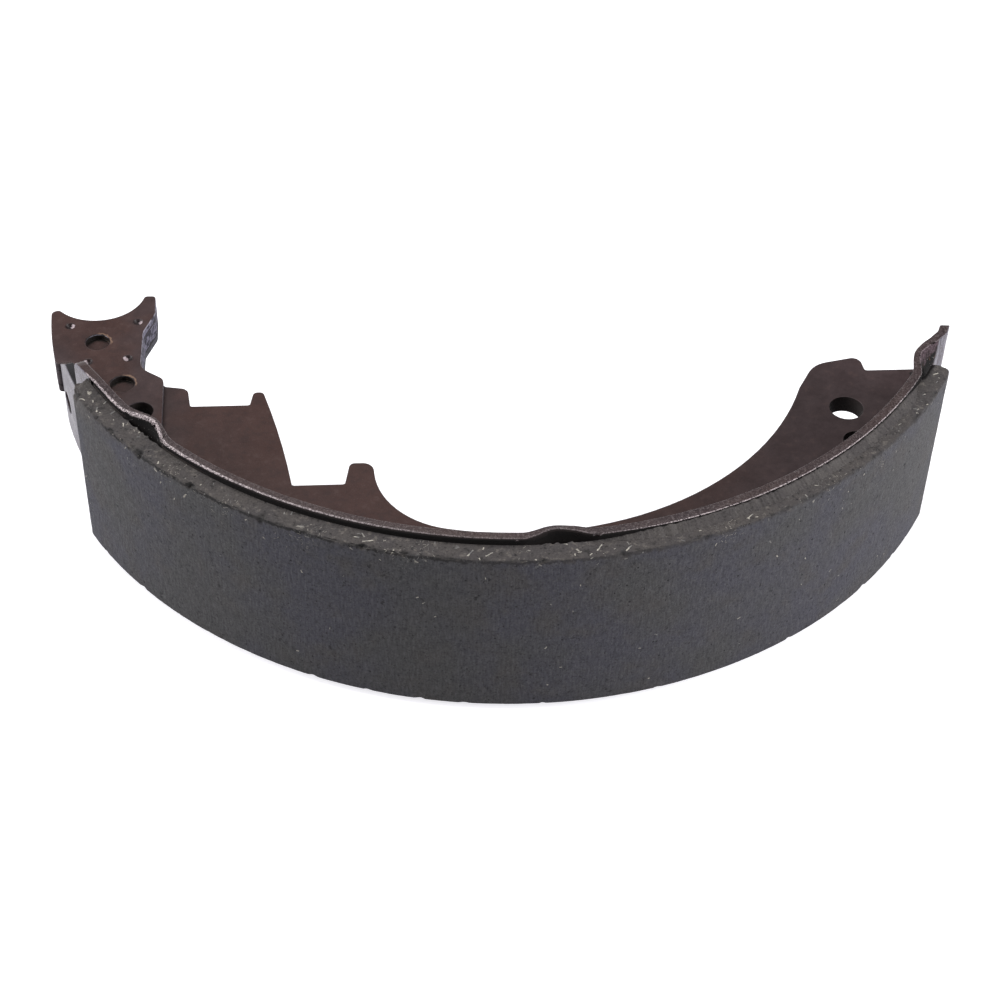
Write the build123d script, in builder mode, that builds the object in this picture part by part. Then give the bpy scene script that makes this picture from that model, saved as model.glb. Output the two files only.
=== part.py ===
from build123d import *
import math
import os

# Drum brake shoe of the duo-servo kind: a bonded friction lining on a curved steel table, a flat web
# welded into the table, and two doubler plates that thicken the web where it bears on the anchor pin.
# All lengths are millimetres. The shoe lies on its side: the drum's axis is along +Z, the lining faces
# -Y, the anchor end is at -X and the adjuster end at +X. Angles are degrees round the drum's axis from
# the shoe's middle line. An inset is a distance inwards from the table's inner face, towards the axis.

# Friction lining
DRUM_R = 155.0            # radius of the rubbing face
LINING_T = 6.4            # thickness of the lining
LINING_W = 60.0           # width across the shoe
LINING_LEFT_ANGLE = 61.6  # end towards the anchor
LINING_RIGHT_ANGLE = 60.9
LINING_END_R = 3.4        # rounded outer corner of each end
LINING_EDGE_R = 0.3       # softened edges of the rubbing face

# Table, the curved plate that the lining is bonded to
TABLE_T = 3.0
TABLE_W = 64.5
TABLE_LEFT_ANGLE = 66.4   # full width ends here, towards the anchor
TABLE_RIGHT_ANGLE = 68.0  # full width ends here, towards the adjuster
EAR_CORNER_R = 6.0        # corners of the end towards the anchor
TABLE_CORNER_R = 1.0      # corners of the end towards the adjuster
FLARE_START_ANGLE = 65.0  # between these the adjuster end is set outwards
FLARE_ANGLE = 66.2
FLARE = 1.1               # how far it is set out
END_SLOPE = 1.0           # how far the inner face of the adjuster end stops short of the outer
TONGUE_W = 33.0           # middle strip that runs on to the anchor end
TONGUE_ANGLE = 76.3
TONGUE_CORNER_R = 3.0     # lower corner of the tongue's end
TONGUE_CUT_L = 12.0       # upper corner, cut off: along the tongue
TONGUE_CUT_H = 9.0        # and down its end
WELD_HOLE_ANGLE = 73.3    # plug weld hole over the edge of the web
WELD_HOLE_DROP = 2.7      # below the middle of the web
WELD_HOLE_R = 3.8

# Guide nibs pressed inwards out of the table's upper edge
NIB_LENGTH = 23.2         # along the edge
END_NIB_LENGTH = 21.0     # the one beside the adjuster end
NIBS = ((-49.6, NIB_LENGTH), (2.5, NIB_LENGTH), (60.9, END_NIB_LENGTH))
NIB_HEIGHT = 13.0         # down from the edge
NIB_DEPTH = 3.5           # how far the edge is pressed in
NIB_KNEE_HEIGHT = 6.5     # height of the knee in its slope, over its foot
NIB_KNEE_DEPTH = 1.3      # how far the knee is pressed in
NIB_THINNING = 0.17       # metal lost in pressing, for each millimetre of depth

# Web
WEB_T = 6.0
WEB_DEPTH = 30.4          # from the table to the inner edge, at the shoe's middle
EYE_X = 0.6               # the inner edge is struck about a point off the drum's axis
EYE_DROP = 14.1           # how far that point lies towards the lining
EDGE_BREAK = 0.45         # rounded edge that blanking leaves
NOTCH_R = 0.9             # corners of both notches and of the adjuster seat

# Adjuster seat, the flat end that the adjuster pushes on, and the hook beside it
ADJUSTER_SEAT_DROP = 42.6  # from the drum's axis
ADJUSTER_SEAT_L = 21.1
HOOK_H = 7.2              # tip of the hook over the seat
HOOK_LEAN = 0.8           # how far the tip stands back from the seat's corner
HOOK_TIP_R = 3.0
HOOK_BACK_H = 3.7
HOOK_BACK_L = 16.6        # from the seat's corner back to the hook's rear corner
HOOK_BACK_R = 10.0
HOOK_ROOT_DROP = 8.0      # where the hook grows out of the inner edge, below the seat

# Strut notch, the shallower of the two, next to the doublers
STRUT_ANGLE = 57.74       # place of the seat's corner beside the pointed lug
STRUT_INSET = 46.9
STRUT_W = 18.9
STRUT_DRAFT = 1.1         # how much each side wall leans out
SHOULDER_H = 8.8          # web beyond the notch, over its seat
SHOULDER_L = 6.9
SHOULDER_RISE = 1.3
SHOULDER_R = 2.8

# Pointed lug between the notches
LUG_TIP_H = 6.3           # over the strut notch's seat
LUG_TIP_W = 3.2
LUG_TIP_R = 1.6
LUG_BOW = 0.8             # how far its long flank bows out

# Lever notch and the rounded lug beside it
LEVER_LUG_ANGLE = 25.8    # place of the lug's foot, round the centre of the inner edge
LEVER_LUG_H = 23.4        # over its foot
LEVER_LUG_W = 7.3
LEVER_LUG_LEAN = 1.2
LEVER_LUG_LEFT_R = 1.8
LEVER_LUG_RIGHT_R = 3.6
LEVER_W = 16.2
LEVER_DEPTH = 9.6         # below the top of the lug
LEVER_DRAFT = 1.7
EYE_BLEND_R = 28.0        # where the inner edge sweeps up into the lug

# Anchor end, one outline for the web and both doublers
ANCHOR_R = 15.7           # half-round that bears on the anchor pin
ANCHOR_H = 4.7            # its centre, beyond the drum's axis
TOE_STEP = 1.3            # how far the plates stand out past the table's outer face
OUTER_HORN_DROP = 10.0    # from the centre of the half-round
OUTER_HORN_W = 2.9
OUTER_HORN_R = 2.0
INNER_HORN_DROP = 3.15
INNER_HORN_W = 3.7
HORN_R = 1.3
WAIST_TOP_DROP = 9.5      # below the inner horn
WAIST_TOP_LEAN = 0.3
WAIST_DROP = 19.0         # below the inner horn
WAIST_LEAN = 3.2
WAIST_FOOT_RISE = 6.3     # over the end of the shoulder
WAIST_TOP_R = 6.0
WAIST_FOOT_R = 7.0
STEP_CORNER_R = 1.4

# Doubler plates
DOUBLER_T = 3.0
DOUBLER_END_ANGLE = 49.4
DOUBLER_SETBACK = 0.9     # left bare on the web along its sloping edge
DOUBLER_END_R = 3.2
DOUBLER_GAP = 0.5         # left between a doubler and the inside of the table
TONGUE_GAP = 1.8          # left between the end of the tongue and the step in the plates

# Half-sheared buttons that locate the doublers in holes of the web
TOE_BUTTON_INSET = 10.3
TOE_BUTTON_ANGLE = 80.3
HEEL_BUTTON_INSET = 13.8
HEEL_BUTTON_ANGLE = 70.3
BUTTON_R = 4.0
BUTTON_DEPTH = 1.8
BUTTON_CLEARANCE = 0.1

# Projection weld dimples in the outer face of each doubler
TOE_DIMPLE_INSET = 1.9
TOE_DIMPLE_ANGLE = 84.4
HORN_DIMPLE_INSET = 24.1
HORN_DIMPLE_ANGLE = 84.1
WAIST_DIMPLE_INSET = 18.6
WAIST_DIMPLE_ANGLE = 75.7
RIM_DIMPLE_INSET = 5.9
RIM_DIMPLE_ANGLE = 76.4
DIMPLE_R = 1.6
DIMPLE_FLOOR_R = 0.9
DIMPLE_DEPTH = 1.0

# Holes right through
SPRING_HOLE_R = 4.4
ANCHOR_SPRING_INSET = 14.2
ANCHOR_SPRING_ANGLE = 63.8
ADJUSTER_SPRING_INSET = 11.9
ADJUSTER_SPRING_ANGLE = 54.6
PIN_HOLE_R = 5.5
PIN_INSET = 20.9
PIN_ANGLE = 60.4


def polar(radius, angle):
    """A point at this radius and angle from the shoe's middle line."""
    turn = math.radians(angle)
    return (radius * math.sin(turn), -radius * math.cos(turn))


def half_chord(radius, offset):
    """Half the chord that a circle cuts from a line at this distance from its centre."""
    return math.sqrt(radius**2 - offset**2)


# Radii and heights
LINING_IN_R = DRUM_R - LINING_T
TABLE_IN_R = LINING_IN_R - TABLE_T
TOE_R = LINING_IN_R + TOE_STEP
EYE_R = TABLE_IN_R - WEB_DEPTH - EYE_DROP
WEB_MID_Z = TABLE_W / 2
WEB_BASE_Z = WEB_MID_Z - WEB_T / 2
WEB_TOP_Z = WEB_MID_Z + WEB_T / 2
STEP_ANGLE = -TONGUE_ANGLE - math.degrees(TONGUE_GAP / LINING_IN_R)

# Anchor end: the toe's corner, the half-round and its two horns
horn_y = ANCHOR_H - OUTER_HORN_DROP
TOE_END = (-half_chord(TOE_R, horn_y), horn_y)
OUTER_HORN = (TOE_END[0] + OUTER_HORN_W, horn_y)
ANCHOR = (OUTER_HORN[0] + half_chord(ANCHOR_R, OUTER_HORN_DROP), ANCHOR_H)
INNER_HORN = (ANCHOR[0] + half_chord(ANCHOR_R, INNER_HORN_DROP), ANCHOR_H - INNER_HORN_DROP)
HORN_END = (INNER_HORN[0] + INNER_HORN_W, INNER_HORN[1])
WAIST_TOP = (HORN_END[0] + WAIST_TOP_LEAN, HORN_END[1] - WAIST_TOP_DROP)
WAIST = (HORN_END[0] - WAIST_LEAN, HORN_END[1] - WAIST_DROP)

# Strut notch and the shoulder beyond it
STRUT_RIGHT = polar(TABLE_IN_R - STRUT_INSET, -STRUT_ANGLE)
STRUT_LEFT = (STRUT_RIGHT[0] - STRUT_W, STRUT_RIGHT[1])
SHOULDER = (STRUT_LEFT[0] - STRUT_DRAFT, STRUT_LEFT[1] + SHOULDER_H)
SHOULDER_END = (SHOULDER[0] - SHOULDER_L, SHOULDER[1] + SHOULDER_RISE)
WAIST_FOOT = (WAIST[0], SHOULDER_END[1] + WAIST_FOOT_RISE)

# Lever notch and its lug, from the lug's foot on the inner edge
lug_turn = math.radians(LEVER_LUG_ANGLE)
LUG_FOOT = (EYE_X - EYE_R * math.sin(lug_turn), -EYE_DROP - EYE_R * math.cos(lug_turn))
LEVER_LUG_RIGHT = (LUG_FOOT[0] - LEVER_LUG_LEAN, LUG_FOOT[1] + LEVER_LUG_H)
LEVER_LUG_LEFT = (LEVER_LUG_RIGHT[0] - LEVER_LUG_W, LEVER_LUG_RIGHT[1])
LEVER_RIGHT = (LEVER_LUG_LEFT[0] - LEVER_DRAFT, LEVER_LUG_LEFT[1] - LEVER_DEPTH)
LEVER_LEFT = (LEVER_RIGHT[0] - LEVER_W, LEVER_RIGHT[1])

# Pointed lug, its flank running down to the lever notch
LUG_TIP = (STRUT_RIGHT[0] + STRUT_DRAFT, STRUT_RIGHT[1] + LUG_TIP_H)
FLANK_TOP = (LUG_TIP[0] + LUG_TIP_W, LUG_TIP[1])
FLANK_MIDDLE = ((FLANK_TOP[0] + LEVER_LEFT[0]) / 2 + LUG_BOW, (FLANK_TOP[1] + LEVER_LEFT[1]) / 2)

# Adjuster end and hook
SEAT_Y = -ADJUSTER_SEAT_DROP
ADJUSTER_END = (half_chord(TABLE_IN_R, SEAT_Y), SEAT_Y)
HOOK_FOOT = (ADJUSTER_END[0] - ADJUSTER_SEAT_L, SEAT_Y)
HOOK_TIP = (HOOK_FOOT[0] - HOOK_LEAN, SEAT_Y + HOOK_H)
HOOK_BACK = (HOOK_FOOT[0] - HOOK_BACK_L, SEAT_Y + HOOK_BACK_H)
root_y = SEAT_Y - HOOK_ROOT_DROP
HOOK_ROOT = (EYE_X + half_chord(EYE_R, root_y + EYE_DROP), root_y)

# Holes, buttons and dimples
ANCHOR_SPRING_HOLE = polar(TABLE_IN_R - ANCHOR_SPRING_INSET, -ANCHOR_SPRING_ANGLE)
ADJUSTER_SPRING_HOLE = polar(TABLE_IN_R - ADJUSTER_SPRING_INSET, ADJUSTER_SPRING_ANGLE)
PIN_HOLE = polar(TABLE_IN_R - PIN_INSET, PIN_ANGLE)
BUTTONS = (
    polar(TABLE_IN_R - TOE_BUTTON_INSET, -TOE_BUTTON_ANGLE),
    polar(TABLE_IN_R - HEEL_BUTTON_INSET, -HEEL_BUTTON_ANGLE),
)
DIMPLES = (
    polar(TABLE_IN_R - TOE_DIMPLE_INSET, -TOE_DIMPLE_ANGLE),
    polar(TABLE_IN_R - HORN_DIMPLE_INSET, -HORN_DIMPLE_ANGLE),
    polar(TABLE_IN_R - WAIST_DIMPLE_INSET, -WAIST_DIMPLE_ANGLE),
    polar(TABLE_IN_R - RIM_DIMPLE_INSET, -RIM_DIMPLE_ANGLE),
)

# The drum's axis stands off the origin, so that the origin lies under the middle of the whole shoe.
AXIS_X = (-TOE_END[0] - ADJUSTER_END[0]) / 2
AXIS_Y = (DRUM_R - HORN_END[1]) / 2


def level(height):
    """A plane across the drum's axis, centred on it, at this height."""
    return Plane(origin=(AXIS_X, AXIS_Y, height))


def rim(radius, start, end):
    """An arc about the drum's axis from one angle to another."""
    return ThreePointArc(polar(radius, start), polar(radius, (start + end) / 2), polar(radius, end))


def ring_strip(outer_radius, inner_radius, start, end):
    """The outline of a strip between two radii, from one angle to another."""
    outside = rim(outer_radius, start, end)
    inside = rim(inner_radius, start, end)
    Line(outside @ 0, inside @ 0)
    Line(outside @ 1, inside @ 1)


def pressed_edge(radius, middle, half, depth):
    """An edge about the drum's axis, pressed in by a depth at its middle."""
    start = math.radians(middle - half)
    end = math.radians(middle + half)
    return Spline(
        (polar(radius, middle - half), polar(radius - depth, middle), polar(radius, middle + half)),
        tangents=((math.cos(start), math.sin(start)), (math.cos(end), math.sin(end))),
    )


def anchor_edge(outer_radius):
    """The anchor end's outline, from the step at the table's end round to the foot of the waist."""
    toe_angle = math.degrees(math.atan2(TOE_END[0], -TOE_END[1]))
    Line(polar(outer_radius, STEP_ANGLE), polar(TOE_R, STEP_ANGLE))
    rim(TOE_R, STEP_ANGLE, toe_angle)
    Line(TOE_END, OUTER_HORN)
    ThreePointArc(OUTER_HORN, (ANCHOR[0], ANCHOR[1] - ANCHOR_R), INNER_HORN)
    Polyline(INNER_HORN, HORN_END, WAIST_TOP, WAIST, WAIST_FOOT)


def corner(sketch, point):
    """The vertex of a sketch that lies nearest a point given from the drum's axis."""
    return sketch.vertices().sort_by_distance(Vector(*point))[0]


def round_corners(sketch, corners):
    """Rounds corners of a sketch, each given as a point and a radius."""
    for point, radius in corners:
        fillet(corner(sketch, point), radius)


ANCHOR_CORNERS = (
    (polar(TOE_R, STEP_ANGLE), STEP_CORNER_R),
    (TOE_END, OUTER_HORN_R),
    (OUTER_HORN, HORN_R),
    (INNER_HORN, HORN_R),
    (HORN_END, HORN_R),
    (WAIST_TOP, WAIST_TOP_R),
    (WAIST, WAIST_TOP_R),
    (WAIST_FOOT, WAIST_FOOT_R),
)
WEB_CORNERS = (
    (SHOULDER, SHOULDER_R),
    (STRUT_LEFT, NOTCH_R),
    (STRUT_RIGHT, NOTCH_R),
    (LUG_TIP, LUG_TIP_R),
    (FLANK_TOP, LUG_TIP_R),
    (LEVER_LEFT, NOTCH_R),
    (LEVER_RIGHT, NOTCH_R),
    (LEVER_LUG_LEFT, LEVER_LUG_LEFT_R),
    (LEVER_LUG_RIGHT, LEVER_LUG_RIGHT_R),
    (LUG_FOOT, EYE_BLEND_R),
    (HOOK_BACK, HOOK_BACK_R),
    (HOOK_TIP, HOOK_TIP_R),
    (HOOK_FOOT, NOTCH_R),
)

os.makedirs("parts", exist_ok=True)

# Friction lining: one moulded block, the outer corner of each end rounded off
with BuildPart() as friction_lining:
    with BuildSketch(level(WEB_MID_Z - LINING_W / 2)):
        with BuildLine():
            ring_strip(DRUM_R, LINING_IN_R, -LINING_LEFT_ANGLE, LINING_RIGHT_ANGLE)
        make_face()
    extrude(amount=LINING_W)
    rubbing_face = friction_lining.faces().sort_by(Axis.Y)[0]
    fillet(rubbing_face.edges().filter_by(Axis.Z), LINING_END_R)
    rubbing_face = friction_lining.faces().sort_by(Axis.Y)[0]
    fillet(rubbing_face.edges().filter_by(GeomType.CIRCLE), LINING_EDGE_R)
friction_lining.part.label = "friction_lining"

# Table: full width over the lining, a narrower tongue on to the anchor end, nibs in its upper edge
inner_end_angle = TABLE_RIGHT_ANGLE - math.degrees(END_SLOPE / TABLE_IN_R)
with BuildPart() as shoe_table:
    with BuildSketch(level(0)):
        with BuildLine():
            outside = rim(LINING_IN_R, -TABLE_LEFT_ANGLE, FLARE_START_ANGLE)
            inside = rim(TABLE_IN_R, -TABLE_LEFT_ANGLE, FLARE_START_ANGLE)
            end_outside = rim(LINING_IN_R + FLARE, FLARE_ANGLE, TABLE_RIGHT_ANGLE)
            end_inside = rim(TABLE_IN_R + FLARE, FLARE_ANGLE, inner_end_angle)
            Line(outside @ 0, inside @ 0)
            Line(outside @ 1, end_outside @ 0)
            Line(inside @ 1, end_inside @ 0)
            Line(end_outside @ 1, end_inside @ 1)
        make_face()
    extrude(amount=TABLE_W)
    flat_sides = shoe_table.faces().filter_by(GeomType.PLANE).filter_by(Axis.Z, reverse=True)
    ear_end = flat_sides.sort_by(Axis.X)[0]
    flare_end = flat_sides.sort_by(Axis.X)[-1]
    fillet(ear_end.edges().filter_by(Axis.Z, reverse=True), EAR_CORNER_R)
    fillet(flare_end.edges().filter_by(Axis.Z, reverse=True), TABLE_CORNER_R)

    with BuildSketch(level(WEB_MID_Z - TONGUE_W / 2)):
        with BuildLine():
            ring_strip(LINING_IN_R, TABLE_IN_R, -TONGUE_ANGLE, -TABLE_LEFT_ANGLE)
        make_face()
    extrude(amount=TONGUE_W)
    tongue_end = shoe_table.faces().filter_by(GeomType.PLANE).sort_by(Axis.Y)[-1]
    lower_corner = tongue_end.edges().filter_by(Axis.Z, reverse=True).sort_by(Axis.Z)[0]
    fillet(lower_corner, TONGUE_CORNER_R)
    tip_x, tip_y = polar(LINING_IN_R, -TONGUE_ANGLE)
    tongue_side = Plane(
        origin=(AXIS_X + tip_x, AXIS_Y + tip_y, WEB_MID_Z + TONGUE_W / 2),
        x_dir=(-tip_y, tip_x, 0),
        z_dir=(tip_x, tip_y, 0),
    )
    with BuildSketch(tongue_side):
        with BuildLine():
            Polyline((0, 0), (TONGUE_CUT_L, 0), (0, -TONGUE_CUT_H), close=True)
        make_face()
    extrude(amount=TABLE_T + TOE_STEP, both=True, mode=Mode.SUBTRACT)

    weld_x, weld_y = polar(LINING_IN_R, -WELD_HOLE_ANGLE)
    weld_plane = Plane(
        origin=(AXIS_X + weld_x, AXIS_Y + weld_y, WEB_MID_Z - WELD_HOLE_DROP),
        x_dir=(0, 0, 1),
        z_dir=(weld_x, weld_y, 0),
    )
    with BuildSketch(weld_plane):
        Circle(WELD_HOLE_R)
    extrude(amount=TABLE_T + TOE_STEP, both=True, mode=Mode.SUBTRACT)

    nib_base_z = TABLE_W - NIB_HEIGHT
    for nib_angle, nib_length in NIBS:
        nib_half = math.degrees(nib_length / 2 / LINING_IN_R)
        with BuildSketch(level(nib_base_z)):
            with BuildLine():
                ring_strip(LINING_IN_R, TABLE_IN_R, nib_angle - nib_half, nib_angle + nib_half)
            make_face()
        extrude(amount=NIB_HEIGHT, mode=Mode.SUBTRACT)
        with BuildSketch(level(nib_base_z)):
            with BuildLine():
                ring_strip(LINING_IN_R, TABLE_IN_R, nib_angle - nib_half, nib_angle + nib_half)
            make_face()
        for height, depth in ((NIB_KNEE_HEIGHT, NIB_KNEE_DEPTH), (NIB_HEIGHT, NIB_DEPTH)):
            with BuildSketch(level(nib_base_z + height)):
                with BuildLine():
                    outside = pressed_edge(LINING_IN_R, nib_angle, nib_half, depth)
                    inside = pressed_edge(TABLE_IN_R, nib_angle, nib_half, depth * (1 - NIB_THINNING))
                    Line(outside @ 0, inside @ 0)
                    Line(outside @ 1, inside @ 1)
                make_face()
        loft(ruled=True)
shoe_table.part.label = "shoe_table"

# Web: one blanked plate
with BuildPart() as web:
    with BuildSketch(level(WEB_BASE_Z)) as web_outline:
        with BuildLine():
            anchor_edge(TABLE_IN_R)
            Polyline(WAIST_FOOT, SHOULDER_END, SHOULDER, STRUT_LEFT, STRUT_RIGHT, LUG_TIP, FLANK_TOP)
            ThreePointArc(FLANK_TOP, FLANK_MIDDLE, LEVER_LEFT)
            Polyline(LEVER_LEFT, LEVER_RIGHT, LEVER_LUG_LEFT, LEVER_LUG_RIGHT, LUG_FOOT)
            ThreePointArc(LUG_FOOT, (EYE_X, -EYE_DROP - EYE_R), HOOK_ROOT)
            Polyline(HOOK_ROOT, HOOK_BACK, HOOK_TIP, HOOK_FOOT, ADJUSTER_END)
            adjuster_angle = math.degrees(math.atan2(ADJUSTER_END[0], -ADJUSTER_END[1]))
            rim(TABLE_IN_R, adjuster_angle, STEP_ANGLE)
        make_face()
        round_corners(web_outline, ANCHOR_CORNERS)
        round_corners(web_outline, WEB_CORNERS)
        with Locations(ANCHOR_SPRING_HOLE, ADJUSTER_SPRING_HOLE):
            Circle(SPRING_HOLE_R, mode=Mode.SUBTRACT)
        with Locations(PIN_HOLE):
            Circle(PIN_HOLE_R, mode=Mode.SUBTRACT)
        with Locations(*BUTTONS):
            Circle(BUTTON_R + BUTTON_CLEARANCE, mode=Mode.SUBTRACT)
    extrude(amount=WEB_T)
    fillet(web.faces().sort_by(Axis.Z)[-1].outer_wire().edges(), EDGE_BREAK)
web.part.label = "web"

# Upper doubler: located by two buttons and welded at four dimples
doubler_top_z = WEB_TOP_Z + DOUBLER_T
doubler_out_r = TABLE_IN_R - DOUBLER_GAP
setback = (Vector(*WAIST_FOOT) - Vector(*SHOULDER_END)).normalized() * DOUBLER_SETBACK
doubler_corner = (SHOULDER_END[0] + setback.X, SHOULDER_END[1] + setback.Y)
with BuildPart() as upper_doubler:
    with BuildSketch(level(WEB_TOP_Z)) as doubler_outline:
        with BuildLine():
            anchor_edge(doubler_out_r)
            Polyline(WAIST_FOOT, doubler_corner, polar(doubler_out_r, -DOUBLER_END_ANGLE))
            rim(doubler_out_r, -DOUBLER_END_ANGLE, STEP_ANGLE)
        make_face()
        round_corners(doubler_outline, ANCHOR_CORNERS)
        fillet(corner(doubler_outline, doubler_corner), DOUBLER_END_R)
    extrude(amount=DOUBLER_T)
    fillet(upper_doubler.faces().sort_by(Axis.Z)[-1].outer_wire().edges(), EDGE_BREAK)
    with BuildSketch(level(doubler_top_z)):
        with Locations(ANCHOR_SPRING_HOLE):
            Circle(SPRING_HOLE_R)
    extrude(amount=-DOUBLER_T, mode=Mode.SUBTRACT)
    with BuildSketch(level(doubler_top_z)):
        with Locations(*BUTTONS):
            Circle(BUTTON_R)
    extrude(amount=-BUTTON_DEPTH, mode=Mode.SUBTRACT)
    with BuildSketch(level(WEB_TOP_Z)):
        with Locations(*BUTTONS):
            Circle(BUTTON_R)
    extrude(amount=-BUTTON_DEPTH)
    for dimple in DIMPLES:
        with BuildSketch(level(doubler_top_z)):
            with Locations(dimple):
                Circle(DIMPLE_R)
        with BuildSketch(level(doubler_top_z - DIMPLE_DEPTH)):
            with Locations(dimple):
                Circle(DIMPLE_FLOOR_R)
        loft(mode=Mode.SUBTRACT)
upper_doubler.part.label = "upper_doubler"

# Lower doubler: the same plate, turned over on the other side of the web
with BuildPart() as lower_doubler:
    mirror(upper_doubler.part, about=level(WEB_MID_Z))
lower_doubler.part.label = "lower_doubler"

export_step(friction_lining.part, "parts/friction_lining.step")
export_step(shoe_table.part, "parts/shoe_table.step")
export_step(web.part, "parts/web.step")
export_step(upper_doubler.part, "parts/upper_doubler.step")
export_step(lower_doubler.part, "parts/lower_doubler.step")
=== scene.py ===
import math

import bmesh
import bpy
import numpy as np
from mathutils import Matrix, Vector, noise


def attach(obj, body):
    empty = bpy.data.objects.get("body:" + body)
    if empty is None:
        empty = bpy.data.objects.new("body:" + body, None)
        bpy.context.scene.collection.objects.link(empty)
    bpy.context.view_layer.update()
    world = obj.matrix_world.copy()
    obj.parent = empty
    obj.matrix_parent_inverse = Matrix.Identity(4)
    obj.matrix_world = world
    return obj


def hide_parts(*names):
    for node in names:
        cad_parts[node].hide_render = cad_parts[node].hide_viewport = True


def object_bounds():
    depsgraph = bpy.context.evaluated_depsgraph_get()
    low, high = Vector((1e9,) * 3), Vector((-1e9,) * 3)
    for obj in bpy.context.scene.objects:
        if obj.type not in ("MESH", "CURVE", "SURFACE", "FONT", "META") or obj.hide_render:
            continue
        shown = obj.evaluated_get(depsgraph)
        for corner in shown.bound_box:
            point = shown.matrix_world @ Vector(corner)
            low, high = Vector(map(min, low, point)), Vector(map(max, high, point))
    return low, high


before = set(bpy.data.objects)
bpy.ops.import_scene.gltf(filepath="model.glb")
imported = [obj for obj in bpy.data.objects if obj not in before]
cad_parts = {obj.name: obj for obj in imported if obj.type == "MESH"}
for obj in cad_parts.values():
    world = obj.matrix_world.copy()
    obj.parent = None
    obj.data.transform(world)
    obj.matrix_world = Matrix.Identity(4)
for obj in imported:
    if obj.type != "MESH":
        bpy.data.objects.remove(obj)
cad_low, cad_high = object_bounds()

# Lengths are in metres. Turns are in degrees about the drum's axis, 0 at the lining's middle and
# positive to the right; where a name says angle, it is in radians.

# The drum's axis, the lining and the heights of the plates, as in the part's source
AXIS_X, AXIS_Y = 0.005288842941875231, 0.076725
DRUM_R, BOND_R = 0.155, 0.1486
LINING_LOW, LINING_HIGH = 0.00225, 0.06225
WEB_LOW, WEB_HIGH = 0.02925, 0.03525
TABLE_TOP = 0.0645
MM = 0.001


# ---------------------------------------------------------------- camera

# Fitted to the photo: the camera's axes, its place and its focal length in the photo's pixels
CAMERA_ACROSS = (0.99758602, -0.06535102, 0.02348144)
CAMERA_UP = (0.02736814, 0.68078306, 0.73197364)
CAMERA_AHEAD = (0.06382099, 0.72956403, -0.6809282)
CAMERA_PLACE = (-0.043870157, -0.514502, 0.493144)
FOCAL_PX, PHOTO_PX, SENSOR_MM = 2194.116, 1000, 36


def add_camera():
    axes = Matrix((CAMERA_ACROSS, CAMERA_UP, -Vector(CAMERA_AHEAD)))
    place = axes.transposed().to_4x4()
    place.translation = Vector(CAMERA_PLACE)
    camera = bpy.data.objects.new("camera", bpy.data.cameras.new("camera"))
    bpy.context.scene.collection.objects.link(camera)
    camera.matrix_world = place
    camera.data.sensor_width = SENSOR_MM
    camera.data.lens = FOCAL_PX * SENSOR_MM / PHOTO_PX
    camera.data.clip_start = 0.01
    bpy.context.scene.camera = camera


add_camera()


# ---------------------------------------------------------------- node helpers

WAVER_SCALE = 900


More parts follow.
